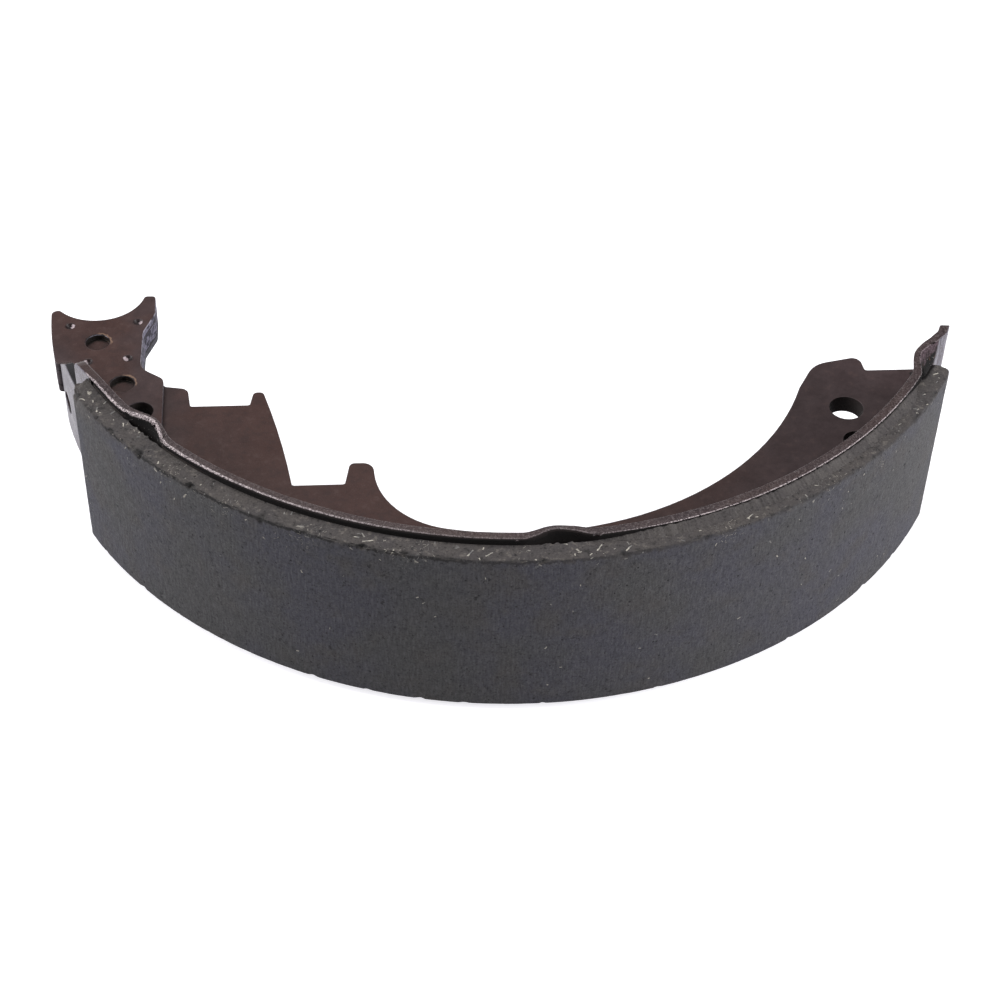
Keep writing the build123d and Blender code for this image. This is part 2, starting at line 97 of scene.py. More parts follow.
class Shader:
    """A material whose nodes are added with their inputs given by name or number."""

    def __init__(self, name):
        self.material = bpy.data.materials.new(name)
        self.material.use_nodes = True
        self.tree = self.material.node_tree
        self.tree.nodes.clear()

    def add(self, kind, inputs=None, **settings):
        node = self.tree.nodes.new("ShaderNode" + kind)
        for key, value in settings.items():
            setattr(node, key, value)
        for key, value in (inputs or {}).items():
            if isinstance(value, bpy.types.NodeSocket):
                self.tree.links.new(value, node.inputs[key])
            else:
                node.inputs[key].default_value = value
        return node

    # -- numbers

    def math(self, operation, *values):
        return self.add("Math", dict(enumerate(values)), operation=operation).outputs[0]

    def chain(self, operation, first, *others):
        for other in others:
            first = self.math(operation, first, other)
        return first

    def times(self, *factors):
        return self.chain("MULTIPLY", *factors)

    def plus(self, *terms):
        return self.chain("ADD", *terms)

    def minus(self, first, second):
        return self.math("SUBTRACT", first, second)

    def most(self, *values):
        return self.chain("MAXIMUM", *values)

    def rest(self, share):
        return self.minus(1.0, share)

    def band(self, value, low, high, out_low=0.0, out_high=1.0):
        """A smooth step from out_low at low to out_high at high; low may be above high."""
        inputs = {"Value": value, "From Min": low, "From Max": high,
                  "To Min": out_low, "To Max": out_high}
        return self.add("MapRange", inputs, interpolation_type="SMOOTHSTEP").outputs[0]

    # -- places and directions

    def place(self):
        return self.add("TexCoord").outputs["Object"]

    def parts(self, vector):
        return self.add("SeparateXYZ", {"Vector": vector}).outputs

    def join(self, x, y):
        return self.add("CombineXYZ", {"X": x, "Y": y}).outputs[0]

    def vector(self, operation, *values):
        node = self.add("VectorMath", dict(enumerate(values)), operation=operation)
        return node.outputs["Value" if operation in ("LENGTH", "DOT_PRODUCT") else "Vector"]

    def scaled(self, vector, x, y, z):
        return self.vector("MULTIPLY", vector, (x, y, z))

    def length(self, vector):
        return self.vector("LENGTH", vector)

    # -- patterns and tones

    def noise(self, vector, scale, detail=2.0, roughness=0.5):
        inputs = {"Vector": vector, "Scale": scale, "Detail": detail, "Roughness": roughness}
        return self.add("TexNoise", inputs).outputs["Fac"]

    def waver(self, vector, reach):
        """A shift of a place by noise, in its plane, for outlines that aren't clean."""
        inputs = {"Vector": vector, "Scale": WAVER_SCALE, "Detail": 2}
        shift = self.add("TexNoise", inputs).outputs["Color"]
        return self.scaled(self.vector("SUBTRACT", shift, (0.5, 0.5, 0.5)), reach, reach, 0)

    def mix(self, factor, first, second):
        node = self.add("Mix", {"Factor": factor}, data_type="RGBA")
        for socket, value in ((node.inputs[6], first), (node.inputs[7], second)):
            if isinstance(value, bpy.types.NodeSocket):
                self.tree.links.new(value, socket)
            else:
                socket.default_value = (*value, 1)
        return node.outputs[2]

    def lay(self, colour, tone, *masks):
        """A tone laid over a colour where all the masks are."""
        return self.mix(self.times(*masks), colour, tone)

    def tint(self, colour, tone, value, low, high, share):
        """A tone laid over a colour as a value passes from low to high, up to a share."""
        return self.mix(self.band(value, low, high, 0.0, share), colour, tone)

    def bump(self, height, distance, normal=None):
        inputs = {"Height": height, "Distance": distance, "Strength": 1.0}
        if normal is not None:
            inputs["Normal"] = normal
        return self.add("Bump", inputs).outputs[0]

    def finish(self, **inputs):
        named = {key.replace("_", " "): value for key, value in inputs.items()}
        bsdf = self.add("BsdfPrincipled", named)
        self.add("OutputMaterial", {"Surface": bsdf.outputs[0]})
        return self.material


def cells(s, plane, cell):
    """Cells of a plane, one scattered point in each: the cell's random numbers, and the offset."""
    voronoi = s.add("TexVoronoi", {"Vector": plane, "Scale": 1 / cell, "Randomness": 1.0},
                    voronoi_dimensions="2D")
    numbers = s.add("SeparateColor", {"Color": voronoi.outputs["Color"]}).outputs
    return numbers, s.vector("SUBTRACT", plane, voronoi.outputs["Position"])


def slivers(s, plane, cell, half_length, half_width, share):
    """Scattered straight slivers, one at most in each cell of the plane: 1 on them, 0 between."""
    numbers, offset = cells(s, plane, cell)
    heading = s.times(numbers[0], 2 * math.pi)
    direction = s.join(s.math("COSINE", heading), s.math("SINE", heading))
    along = s.vector("DOT_PRODUCT", offset, direction)
    distance = s.length(offset)
    squared = s.minus(s.times(distance, distance), s.times(along, along))
    across = s.math("SQRT", s.most(0.0, squared))
    size = s.band(numbers[1], 0.0, 1.0, 0.5, 1.0)
    in_length = s.math("LESS_THAN", s.math("ABSOLUTE", along), s.times(half_length, size))
    in_width = s.band(across, half_width * 0.55, half_width, 1.0, 0.0)
    chosen = s.math("LESS_THAN", numbers[2], share)
    return s.times(in_length, in_width, chosen)


def spots(s, plane, cell, radius, share):
    """Scattered round spots with soft rims, 1 in the middle."""
    numbers, offset = cells(s, plane, cell)
    reach = s.times(radius, s.band(numbers[1], 0, 1, 0.4, 1.0))
    inside = s.band(s.math("DIVIDE", s.length(offset), reach), 0.3, 1.0, 1.0, 0.0)
    chosen = s.math("LESS_THAN", numbers[2], share)
    return s.times(inside, chosen)


def about_axis(s, place):
    """Where a place is about the drum's axis: outward direction, distance, angle and height."""
    x, y, z = s.parts(place)
    across, ahead = s.minus(x, AXIS_X), s.minus(AXIS_Y, y)
    flat = s.join(across, s.times(ahead, -1.0))
    return s.vector("NORMALIZE", flat), s.length(flat), s.math("ARCTAN2", across, ahead), z


# ---------------------------------------------------------------- lining's material

DEEP_SHADE = (0.004, 0.003, 0.003)
LINING_TONES = {
    "face warm": (0.055, 0.0535, 0.055), "face cool": (0.053, 0.0515, 0.065),
    "face brown": (0.058, 0.053, 0.052),
    "grain pale": (0.110, 0.109, 0.116), "grain dark": (0.026, 0.026, 0.029),
    "mottle pale": (0.088, 0.084, 0.084), "mottle dark": (0.034, 0.033, 0.036),
    "side": (0.061, 0.0535, 0.0505), "side shaded": (0.050, 0.0445, 0.0445),
    "side specks pale": (0.122, 0.108, 0.097), "side specks dark": (0.019, 0.017, 0.016),
    "rubbed": (0.098, 0.090, 0.084), "crevice_shade": (0.009, 0.008, 0.008),
    "grit pale": (0.13, 0.125, 0.12), "grit dark": (0.020, 0.020, 0.021),
    "pit": (0.012, 0.012, 0.013), "chip": (0.020, 0.019, 0.018),
    "fibre": (0.50, 0.465, 0.40), "fibre dull": (0.17, 0.165, 0.16),
}


def lining_fibres(s, place, plane, on_side, from_top):
    """Fibres, crumbs, fine strokes and flakes, most of them near the top edge."""
    wavering = s.vector("ADD", plane, s.waver(place, 0.0006))
    ragged = s.vector("ADD", plane, s.waver(place, 0.0030))
    near_top = s.band(from_top, 0.011, 0.002)
    near_edge = s.most(near_top, on_side)
    clumps = s.band(s.noise(place, 60, 2), 0.44, 0.62)
    fibres = slivers(s, wavering, cell=0.0056, half_length=0.0015, half_width=0.00027,
                     share=s.times(on_side, s.plus(0.06, s.times(clumps, 0.4))))
    crumb_share = s.plus(s.plus(0.020, s.times(near_top, 0.16)), s.times(on_side, 0.07))
    crumbs = slivers(s, wavering, cell=0.0034, half_length=0.0006, half_width=0.00020,
                     share=crumb_share)
    stroke_share = s.times(s.band(s.noise(place, 75, 2), 0.56, 0.66), near_edge)
    strokes = slivers(s, s.vector("ADD", wavering, (0.31, 0.17, 0)), cell=0.0013,
                      half_length=0.00055, half_width=0.00011, share=stroke_share)
    flakes = spots(s, s.vector("ADD", ragged, (0.13, 0.29, 0)), cell=0.0088, radius=0.00085,
                   share=s.times(near_edge, 0.20))
    return s.most(fibres, crumbs, s.times(strokes, 0.55), s.times(flakes, 0.8))


def lining_hollows(s, place, plane):
    """Small round pits and a few torn ones."""
    ragged = s.vector("ADD", plane, s.waver(place, 0.0030))
    pits = spots(s, plane, cell=0.0062, radius=0.00050, share=0.45)
    fine_pits = spots(s, plane, cell=0.0021, radius=0.00020, share=0.3)
    torn_pits = spots(s, ragged, cell=0.0095, radius=0.00085, share=0.22)
    return s.most(pits, fine_pits, torn_pits)


def top_crevice_shade(s, rubbing_plane, on_side, angle, from_top):
    """The broken dark line just below the top edge, a painted shadow of a crevice, on the left and
    fading to the right.
    """
    jag = s.minus(s.noise(s.scaled(rubbing_plane, 1.0, 0.25, 1.0), 620, 3, 0.75), 0.5)
    drop = s.math("ABSOLUTE", s.minus(s.plus(from_top, s.times(jag, 0.0038)), 0.0007))
    line = s.times(s.band(drop, 0.00080, 0.00035), s.rest(on_side))
    broken = s.band(s.noise(s.scaled(rubbing_plane, 1.0, 0.0, 1.0), 95, 3, 0.7), 0.36, 0.50)
    leftward = s.times(s.band(angle, 0.25, -0.35, 0.30, 1.0), s.band(angle, -0.99, -0.90))
    return s.times(line, broken, leftward)


def make_lining_material():
    """Friction material: grain along the arc, a dusty worn top edge, pits, fibres and chips."""
    s, tone = Shader("friction_lining"), LINING_TONES
    place = s.place()
    _, from_axis, angle, z = about_axis(s, place)
    normal_z = s.parts(s.add("NewGeometry").outputs["True Normal"])[2]
    on_side = s.math("GREATER_THAN", s.math("ABSOLUTE", normal_z), 0.7)
    rubbing_plane = s.join(s.times(angle, DRUM_R), z)
    plane = s.add("Mix", {0: on_side, 4: rubbing_plane, 5: s.scaled(place, 1, 1, 0)},
                  data_type="VECTOR").outputs[1]
    from_top = s.minus(LINING_HIGH, z)

    patch = s.noise(place, 85, 3, 0.6)
    grit = s.noise(place, 1500, 3, 0.65)
    specks = s.noise(place, 560, 3, 0.65)
    side_specks = s.noise(place, 420, 4, 0.75)
    mottle = s.noise(place, 650, 3, 0.6)
    grain = s.noise(s.scaled(rubbing_plane, 1.0, 0.14, 1.0), 1500, 4, 0.7)
    fray = s.times(s.minus(s.noise(place, 260, 3, 0.7), 0.5), 0.006)

    rubbing = s.mix(s.band(s.noise(place, 28, 3), 0.38, 0.62), tone["face warm"], tone["face cool"])
    rubbing = s.tint(rubbing, tone["face brown"], patch, 0.45, 0.75, 0.8)
    rubbing = s.tint(rubbing, tone["grain pale"], grain, 0.45, 0.72, 0.42)
    rubbing = s.tint(rubbing, tone["grain dark"], grain, 0.49, 0.26, 0.60)
    rubbing = s.tint(rubbing, tone["mottle pale"], mottle, 0.52, 0.70, 0.30)
    rubbing = s.tint(rubbing, tone["mottle dark"], mottle, 0.47, 0.30, 0.40)
    side = s.mix(s.band(patch, 0.35, 0.65), tone["side"], tone["side shaded"])
    side = s.tint(side, tone["side specks pale"], side_specks, 0.55, 0.66, 0.75)
    side = s.tint(side, tone["side specks dark"], side_specks, 0.45, 0.34, 0.85)

    # Dust of the side's tone runs over the top edge, further down at both ends
    worn_end = s.plus(s.band(angle, -0.84, -1.03), s.band(angle, 0.97, 1.05, 0.0, 0.6))
    dust_reach = s.plus(0.0024, s.times(worn_end, 0.0085))
    dusty = s.band(s.math("DIVIDE", s.plus(from_top, fray), dust_reach), 1.0, -0.25)
    rubbed_side = s.lay(side, tone["rubbed"], s.band(angle, -0.96, -1.05), 0.75)
    rubbed_side = s.mix(on_side, rubbed_side, side)
    colour = s.mix(s.most(s.times(dusty, 0.9), on_side), rubbing, rubbed_side)

    # Painted shadow of a crevice just below the top edge
    crevice_shade = top_crevice_shade(s, rubbing_plane, on_side, angle, from_top)
    colour = s.lay(colour, tone["crevice_shade"], crevice_shade, 0.92)
    colour = s.tint(colour, tone["grit pale"], grit, 0.56, 0.76, 0.35)
    colour = s.tint(colour, tone["grit dark"], grit, 0.46, 0.28, 0.65)
    colour = s.tint(colour, tone["pit"], specks, 0.39, 0.27, 0.8)
    hollow = lining_hollows(s, place, plane)
    colour = s.lay(colour, tone["pit"], hollow, 0.75)
    fibre = lining_fibres(s, place, plane, on_side, from_top)
    fibre_tone = s.mix(s.band(s.noise(place, 300, 1), 0.40, 0.60), tone["fibre"],
                       tone["fibre dull"])
    colour = s.lay(colour, fibre_tone, fibre, 0.8)
    # Painted shade in the chips and along the broken inner edge
    chip = s.add("Attribute", attribute_name="chip").outputs["Fac"]
    colour = s.lay(colour, tone["chip"], chip, 0.65)

    # The side's inner edge is torn away beside the end nib, and its hollow gets a painted shadow
    inside = s.plus(s.minus(from_axis, BOND_R), s.times(fray, 0.35))
    torn_hollow_shade = s.times(s.band(inside, 0.0012, 0.0007), s.band(angle, 0.995, 1.015))
    colour = s.lay(colour, DEEP_SHADE, torn_hollow_shade, 0.93)

    height = s.plus(s.times(grit, 0.5), s.times(specks, 0.7),
                    s.times(s.times(grain, s.rest(on_side)), 0.30))
    height = s.plus(s.minus(height, s.times(hollow, 1.4)), s.times(fibre, 0.9))
    return s.finish(Base_Color=colour, Roughness=s.band(grit, 0.3, 0.7, 0.92, 0.72),
                    Normal=s.bump(height, 0.00022), Specular_IOR_Level=0.28)


# ---------------------------------------------------------------- steel's materials

def steel_base(s, place, warm, dark):
    """Brown dip paint: slow drifts of tone, a cloudy film and grains of dust in it."""
    cloud = s.noise(place, 120, 4, 0.6)
    dust = s.noise(place, 2300, 2, 0.6)
    colour = s.mix(s.band(s.noise(place, 16, 3, 0.55), 0.36, 0.64), warm, dark)
    colour = s.tint(colour, [v * 1.35 for v in warm], cloud, 0.35, 0.7, 0.35)
    colour = s.tint(colour, [v * 0.4 for v in dark], dust, 0.42, 0.2, 0.5)
    colour = s.tint(colour, (0.12, 0.09, 0.08), dust, 0.60, 0.8, 0.5)
    return colour, cloud, dust


def shade_hollows(s, colour, share):
    shelter = s.add("AmbientOcclusion", {"Distance": 0.004}, samples=6).outputs["AO"]
    return s.tint(colour, (0.008, 0.005, 0.0045), shelter, 0.80, 0.30, share)


def softened(s, radius):
    return s.add("Bevel", {"Radius": radius}, samples=6).outputs["Normal"]


# The doubler's weld dimples from the drum's axis, with the side on which each catches light, and
# its buttons; the heights at which their marks are centred; the radius of the buttons' own holes
DIMPLES = ((-0.14301, -0.01402, 1), (-0.12086, -0.01249, 1),
           (-0.12306, -0.03137, -1), (-0.13578, -0.03285, -1))
BUTTONS = ((-0.13337, -0.02280), (-0.12409, -0.04443))
DIMPLE_Z, BUTTON_Z, SPIGOT_R = 0.0380, 0.0375, 0.0040
# The web's spring and pin holes: distance from the drum's axis, turn and radius
HOLES = ((0.1314, -63.8, 0.0044), (0.1337, 54.6, 0.0044), (0.1247, 60.4, 0.0055))
WAIST = (-0.111, 0.066, 0)  # beside the narrowing behind the anchor end, where cut walls are raw
NOOK = (0.1386, 0.0309, 0.0352)  # the corner between the web's right end and the table, where a shadow is painted
WEB_TONES = {
    "warm": (0.042, 0.0188, 0.0155), "dark": (0.0325, 0.0172, 0.0160),
    "lilac": (0.036, 0.0230, 0.0240), "lilac pale": (0.049, 0.033, 0.035),
    "mottle dark": (0.020, 0.011, 0.011), "mottle pale": (0.075, 0.046, 0.042),
    "rim": (0.10, 0.085, 0.085),
    "dimple": (0.012, 0.007, 0.008), "dimple glint": (0.50, 0.41, 0.43),
    "recess shade": (0.004, 0.003, 0.002), "button lip": (0.24, 0.15, 0.10),
    "raw cut dark": (0.020, 0.018, 0.028), "raw cut pale": (0.155, 0.145, 0.195),
    "cut dark": (0.034, 0.026, 0.029), "cut pale": (0.066, 0.054, 0.061),
    "cut low": (0.034, 0.036, 0.038), "edge_highlight": (0.36, 0.34, 0.40),
    "gap": (0.004, 0.003, 0.004), "hole": (0.007, 0.0045, 0.0035),
}


def stamped_marks(s, colour, blurred):
    """Painted shade in each dimple with a painted highlight on its lit side, and painted shade on
    the far wall of each button's recess with a painted highlight on its lip.
    """
    tone = WEB_TONES
    for spot_x, spot_y, lit_side in DIMPLES:
        offset = s.vector("SUBTRACT", blurred, (AXIS_X + spot_x, AXIS_Y + spot_y, DIMPLE_Z))
        beside = s.vector("SUBTRACT", offset, (0.00085 * lit_side, 0.0003, -0.0004))
        # Painted shade in the dimple and a painted highlight beside it
        colour = s.lay(colour, tone["dimple"], s.band(s.length(offset), 0.0020, 0.0012), 0.75)
        colour = s.lay(colour, tone["dimple glint"], s.band(s.length(beside), 0.0010, 0.0006), 0.9)
    for spot_x, spot_y in BUTTONS:
        offset = s.vector("SUBTRACT", blurred, (AXIS_X + spot_x, AXIS_Y + spot_y, BUTTON_Z))
        offset = s.scaled(offset, 1, 1, 0.3)
        distance = s.length(offset)
        # Painted shade on the recess's far wall and a painted highlight on the lip
        far_side = s.band(s.vector("DOT_PRODUCT", offset, (-0.25, 0.97, 0)), 0.0006, 0.0026)
        recess_shade = s.times(s.band(distance, 0.0024, 0.0033), s.band(distance, 0.0045, 0.0041))
        colour = s.lay(colour, tone["recess shade"], recess_shade, far_side, 0.95)
        lip = s.times(s.band(distance, 0.0040, 0.0043), s.band(distance, 0.0049, 0.0045))
        lip_side = s.band(s.vector("DOT_PRODUCT", offset, (0.75, 0.66, 0)), 0.0022, 0.0036)
        colour = s.lay(colour, tone["button lip"], lip, lip_side, 0.6)
    return colour


def inside_holes(s, place, z):
    """1 in the web's and the doublers' holes, below the doubler's upper face."""
    sunk = [(AXIS_X + spot_x, AXIS_Y + spot_y, SPIGOT_R) for spot_x, spot_y in BUTTONS]
    for distance, turn, radius in HOLES:
        angle = math.radians(turn)
        sunk.append((AXIS_X + distance * math.sin(angle), AXIS_Y - distance * math.cos(angle),
                     radius))
    within = 0.0
    for centre_x, centre_y, radius in sunk:
        offset = s.scaled(s.vector("SUBTRACT", place, (centre_x, centre_y, 0)), 1, 1, 0)
        within = s.most(within, s.band(s.minus(s.length(offset), radius), 0.0006, 0.0002))
    return s.times(within, s.band(z, 0.0381, 0.0377))


def cut_walls(s, place, z, tears):
    """The plates' cut edges: raw and layered near the waist, with a painted highlight along the
    upper doubler's top edge there, plain elsewhere, with dark gaps.
    """
    tone = WEB_TONES
    bands = s.noise(s.scaled(place, 0.15, 0.15, 1), 900, 2, 0.6)
    blotch = s.noise(place, 480, 3, 0.7)
    layers = s.plus(s.times(tears, 0.5), s.times(bands, 0.5), blotch)
    from_waist = s.length(s.scaled(s.vector("SUBTRACT", place, WAIST), 1, 1, 0))
    raw = s.band(from_waist, 0.026, 0.016)
    raw_cut = s.mix(s.band(layers, 0.90, 1.10), tone["raw cut dark"], tone["raw cut pale"])
    plain_cut = s.mix(s.band(layers, 0.80, 1.20), tone["cut dark"], tone["cut pale"])
    cut = s.mix(raw, plain_cut, raw_cut)
    cut = s.lay(cut, tone["cut low"], s.band(z, 0.0294, 0.0291), 0.75, raw)
    # Painted highlight along the upper doubler's cut edge near the waist
    edge_highlight = s.times(s.band(z, 0.0372, 0.0378), s.band(blotch, 0.40, 0.52), raw)
    cut = s.lay(cut, tone["edge_highlight"], edge_highlight, 0.8)
    uneven_height = s.plus(z, s.times(s.minus(blotch, 0.5), 0.0009))
    for joint in (WEB_HIGH, WEB_LOW):
        from_joint = s.math("ABSOLUTE", s.minus(uneven_height, joint))
        cut = s.mix(s.band(from_joint, 0.00040, 0.00020), cut, tone["gap"])
    return cut


def make_web_material():
    """The paint of the web and the doublers, brown in the middle and lilac towards both ends."""
    s, tone = Shader("web_paint"), WEB_TONES
    place = s.place()
    x, _, z = s.parts(place)
    brown, cloud, dust = steel_base(s, place, tone["warm"], tone["dark"])
    lilac = s.mix(s.band(cloud, 0.35, 0.7, 0.0, 0.6), tone["lilac"], tone["lilac pale"])
    along = s.plus(x, s.times(s.minus(s.noise(place, 22, 3), 0.5), 0.07))
    at_ends = s.most(s.band(along, -0.128, -0.150), s.band(along, 0.055, 0.095))
    doubler_edge = s.times(s.band(along, -0.117, -0.112), s.band(along, -0.098, -0.106))
    colour = s.lay(brown, lilac, s.most(at_ends, s.times(doubler_edge, 0.7)), 0.85)
    mottle = s.noise(place, 330, 3, 0.65)
    colour = s.tint(colour, tone["mottle dark"], mottle, 0.50, 0.34, 0.35)
    colour = s.tint(colour, tone["mottle pale"], mottle, 0.54, 0.70, 0.30)

    normal = s.add("NewGeometry").outputs["Normal"]
    rim = s.band(s.vector("DOT_PRODUCT", softened(s, 0.0009), normal), 0.995, 0.90)
    rim_worn = s.band(s.noise(place, 520, 3, 0.7), 0.40, 0.62)
    colour = s.lay(colour, tone["rim"], rim, rim_worn, 0.30)
    colour = shade_hollows(s, colour, 0.9)
    blurred = s.vector("ADD", place, s.waver(place, 0.0013))
    colour = stamped_marks(s, colour, blurred)

    wall = s.band(s.math("ABSOLUTE", s.parts(normal)[2]), 0.6, 0.3)
    in_hole = inside_holes(s, place, z)
    tears = s.noise(s.scaled(place, 1, 1, 0.12), 1100, 3, 0.7)
    stacked = s.band(x, -0.085, -0.092, 0.55, 0.95)
    colour = s.lay(colour, cut_walls(s, place, z, tears), wall, s.rest(in_hole), stacked)
    # Painted shade on the walls inside the holes
    colour = s.lay(colour, tone["hole"], wall, in_hole, 0.85)
    # Painted shadow in the nook between the web's right end and the table
    from_nook = s.length(s.scaled(s.vector("SUBTRACT", blurred, NOOK), 1.0, 0.55, 0.6))
    colour = s.lay(colour, DEEP_SHADE, s.band(from_nook, 0.0011, 0.0006), 0.9)

    height = s.plus(s.noise(place, 800, 2, 0.5), s.times(dust, 0.4),
                    s.times(tears, wall, 3.0))
    return s.finish(
        Base_Color=colour,
        Roughness=s.most(s.band(cloud, 0.3, 0.7, 0.36, 0.48), s.times(wall, 0.8)),
        Normal=s.bump(height, 0.00006, softened(s, 0.00035)),
        Specular_IOR_Level=0.28,
    )


TABLE_TONES = {
    "warm": (0.043, 0.026, 0.024), "dark": (0.032, 0.021, 0.023),
    "grit pale": (0.135, 0.115, 0.115), "grit dark": (0.012, 0.008, 0.009),
    "dusted dark": (0.030, 0.025, 0.024), "dusted pale": (0.070, 0.060, 0.056),
    "lit flare dark": (0.030, 0.019, 0.022), "lit flare pale": (0.105, 0.074, 0.086),
    "wall_shade": (0.0022, 0.0016, 0.0015), "rust": (0.050, 0.025, 0.014),
    "glint": (0.5, 0.46, 0.46), "bare": (0.145, 0.138, 0.182),
    "rim dull": (0.19, 0.155, 0.165), "rim bright": (0.62, 0.54, 0.54),
    "rim shade": (0.014, 0.0095, 0.0095), "inner rim": (0.22, 0.18, 0.185),
    "tongue left": (0.030, 0.029, 0.031), "tongue right": (0.008, 0.007, 0.008),
}


def make_table_material():
    """The web's paint, with a painted granular highlight along the outer rim and painted shade on
    the outer wall above the bond.
    """
    s, tone = Shader("table_paint"), TABLE_TONES
    place = s.place()
    outward, from_axis, angle, z = about_axis(s, place)
    turn = s.times(angle, 180 / math.pi)
    colour, cloud, _ = steel_base(s, place, tone["warm"], tone["dark"])
    normal = s.add("NewGeometry").outputs["Normal"]
    facing_up = s.parts(normal)[2]
    out_part = s.vector("DOT_PRODUCT", normal, outward)
    facing_out = s.band(out_part, 0.35, 0.65)
    grain = s.noise(place, 1300, 3, 0.75)
    finer = s.noise(place, 2300, 3, 0.8)
    gritty = s.plus(s.times(grain, 0.5), s.times(finer, 0.5))
    granular = s.band(gritty, 0.40, 0.53)

    # Grit on the upper edge
    top = s.times(s.band(facing_up, 0.8, 0.95), s.band(z, 0.0640, 0.0643))
    colour = s.lay(colour, tone["grit pale"], top, s.band(gritty, 0.50, 0.60, 0.0, 0.55))
    colour = s.lay(colour, tone["grit dark"], top, s.band(gritty, 0.49, 0.40, 0.0, 0.75))

    # The outer wall above the bond and in the pressed nibs gets painted shade. It is only dusted on
    # the left, and on the end nib a painted lit band stands above the shade, where the real nib
    # flares out into the light.
    over_lining = s.times(s.band(turn, -61.6, -61.0), s.band(turn, 61.2, 60.8))
    above = s.times(s.band(z, 0.0610, 0.0620), over_lining)
    pressed = s.times(s.band(s.minus(BOND_R, from_axis), 0.0002, 0.0008),
                      s.band(z, 0.0505, 0.0525))
    sheltered = s.times(facing_out, s.most(above, pressed))
    # Outward faces at the ends, outside the lining's span, which get a painted sheen
    bare = s.times(s.minus(facing_out, sheltered), s.rest(over_lining))
    # How far down the end nib's painted lit band reaches above the painted shade
    lit_flare_reach = s.times(s.band(turn, 58.0, 60.0, 0.0, 0.0090), s.noise(place, 420, 3, 0.6))
    only_dusted = s.times(s.band(turn, -38, -42), s.band(z, 0.06325, 0.06290), s.rest(pressed))
    unlit = s.times(s.band(s.plus(z, lit_flare_reach), 0.0672, 0.0645), s.rest(only_dusted))
    shaded_wall = s.times(sheltered, unlit)
    dusted = s.mix(s.band(gritty, 0.44, 0.56), tone["dusted dark"], tone["dusted pale"])
    lit_flare = s.mix(s.band(gritty, 0.42, 0.58), tone["lit flare dark"], tone["lit flare pale"])
    colour = s.lay(colour, s.mix(s.band(turn, 0, 1), dusted, lit_flare), s.minus(sheltered, shaded_wall))
    colour = s.lay(colour, tone["wall_shade"], shaded_wall)
    rust = s.times(s.band(turn, 55, 59), s.band(s.noise(place, 500, 3), 0.57, 0.66))
    colour = s.lay(colour, tone["rust"], shaded_wall, rust, 0.6)
    glints = s.times(s.band(grain, 0.64, 0.70),
                     s.most(s.band(turn, -44, -50), s.band(turn, 60, 63)))
    colour = s.lay(colour, tone["glint"], shaded_wall, glints, 0.9)

    # The rounded outer rim: a painted highlight along it, with a painted shaded band and a painted
    # black shadow line under it
    around = s.minus(out_part, s.band(turn, 5, 20, 0.0, 0.22))
    wider = s.minus(around, s.band(turn, -30, -46, 0.0, 0.24))
    rounded = s.times(s.band(around, 0.14, 0.30), s.band(wider, 0.66, 0.48),
                      s.band(z, 0.0632, 0.0635))
    bright = s.plus(s.band(turn, -4, -42, 0.16, 1.0), s.band(turn, 6, 20, 0.0, 1.0))
    bright = s.times(bright, s.band(turn, 58, 48, 0.25, 1.0))
    # Painted highlight along the rounded outer rim
    edge_share = s.math("MINIMUM", s.times(rounded, bright, granular), 1.0)
    colour = s.lay(colour, s.mix(s.band(finer, 0.46, 0.60), tone["rim dull"], tone["rim bright"]),
                   edge_share)
    leftward = s.times(over_lining, s.band(turn, 14, 6))
    above_lining = s.band(z, 0.0630, 0.0632)
    shaded = s.times(s.band(wider, 0.50, 0.75), above_lining, leftward)
    colour = s.lay(colour, tone["rim shade"], shaded, 0.85)
    # Painted black shadow line on the wall under the rim
    under = s.times(s.band(out_part, 0.84, 0.96), above_lining, leftward)
    colour = s.lay(colour, tone["wall_shade"], under)
    # A fainter painted highlight along the inner upper edge
    inner_rim = s.times(s.band(out_part, -0.10, -0.30), s.band(facing_up, 0.3, 0.6),
                        s.band(z, 0.0637, 0.0640))
    colour = s.lay(colour, tone["inner rim"], inner_rim, granular,
                   s.band(turn, 10, -20, 0.05, 0.18))

    tongue_top = s.times(s.band(facing_up, 0.8, 0.95), s.band(z, 0.0500, 0.0495),
                         s.band(turn, -66.0, -66.4))
    tongue_tone = s.mix(s.band(turn, -72.5, -68.5), tone["tongue left"], tone["tongue right"])
    colour = s.lay(colour, tongue_tone, tongue_top)
    colour = shade_hollows(s, colour, 0.8)
    # Painted sheen of the side lamps on the outward faces at the ends
    colour = s.lay(colour, tone["bare"], bare, s.band(gritty, 0.42, 0.58, 0.15, 0.75))

    creased = s.times(facing_out, pressed, s.band(turn, 57, 58))
    height = s.plus(s.noise(place, 800, 2, 0.5), s.times(grain, 1.6))
    return s.finish(
        Base_Color=colour,
        Roughness=s.most(s.band(cloud, 0.3, 0.7, 0.30, 0.42), s.most(shaded_wall, creased)),
        Normal=s.bump(height, 0.00009, softened(s, 0.0004)),
        Specular_IOR_Level=0.32,
    )


def make_bead_material():
    """Resin with lining dust in it, much the tone of the lining's side."""
    s = Shader("bond_bead")
    place = s.place()
    grain = s.noise(place, 1500, 3, 0.75)
    film = s.noise(place, 140, 3)
    colour = s.mix(s.band(film, 0.4, 0.62), (0.064, 0.0565, 0.0535), (0.054, 0.0480, 0.0475))
    colour = s.tint(colour, LINING_TONES["side specks dark"], grain, 0.45, 0.34, 0.8)
    colour = s.tint(colour, (0.13, 0.118, 0.108), grain, 0.58, 0.70, 0.6)
    return s.finish(Base_Color=colour, Roughness=s.band(film, 0.3, 0.7, 0.6, 0.85),
                    Normal=s.bump(grain, 0.00016), Specular_IOR_Level=0.28)


# ---------------------------------------------------------------- mesh helpers

